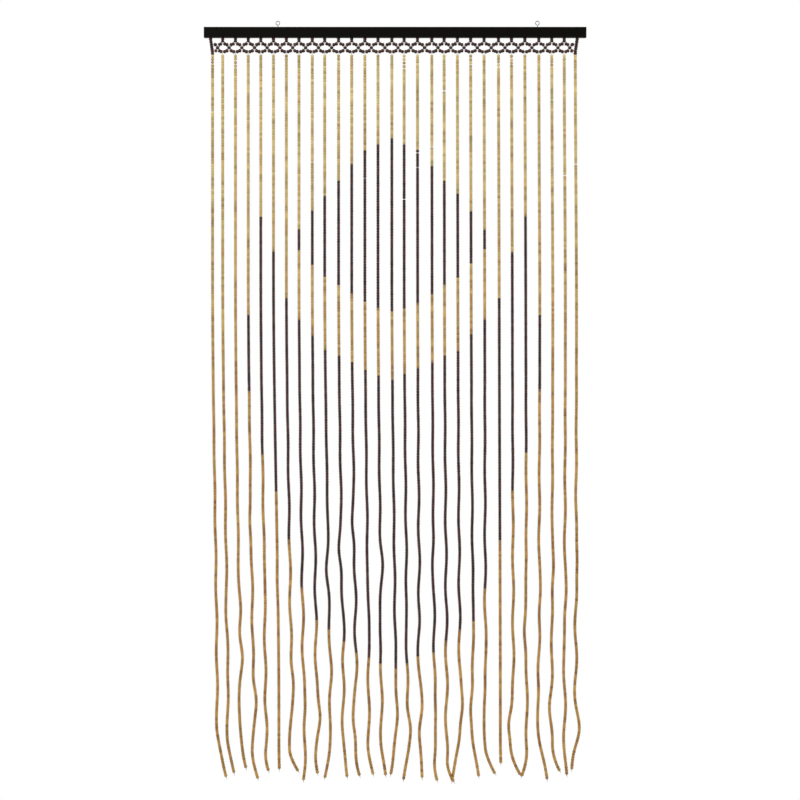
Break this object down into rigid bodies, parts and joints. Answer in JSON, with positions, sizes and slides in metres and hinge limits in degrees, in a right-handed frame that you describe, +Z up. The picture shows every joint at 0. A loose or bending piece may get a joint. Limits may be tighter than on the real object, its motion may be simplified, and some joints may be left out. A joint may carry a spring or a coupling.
{
  "type": "bead curtain on hanging bar",
  "caption": "Door curtain of wooden bead strings in two browns, hung from a heading of hexagonal bead meshes under a black wooden bar with two screw eyes.",
  "frame": {"origin": "midway along the bar and midway through its depth, at the height of the middles of the two screw eyes' rings", "axes": "+X to the right along the bar as seen from the front, +Y to the back, +Z up"},
  "size_m": [0.9, 0.016, 1.7916],
  "materials": {
    "bar_wood": "black satin paint over straight-grained wood",
    "eye_wire": "zinc plate, a little dulled",
    "natural_beads": "thin clear lacquer on pale wood",
    "dark_beads": "dark brown stain under thin lacquer",
    "heading_beads": "dark reddish-brown stain under thin lacquer",
    "bead_thread": "pale twisted thread"
  },
  "bodies": {
    "root": {"bar": "bar_wood", "hanger_left": "eye_wire", "hanger_right": "eye_wire", "bead_strings": "natural_beads"}
  },
  "joints": []
}
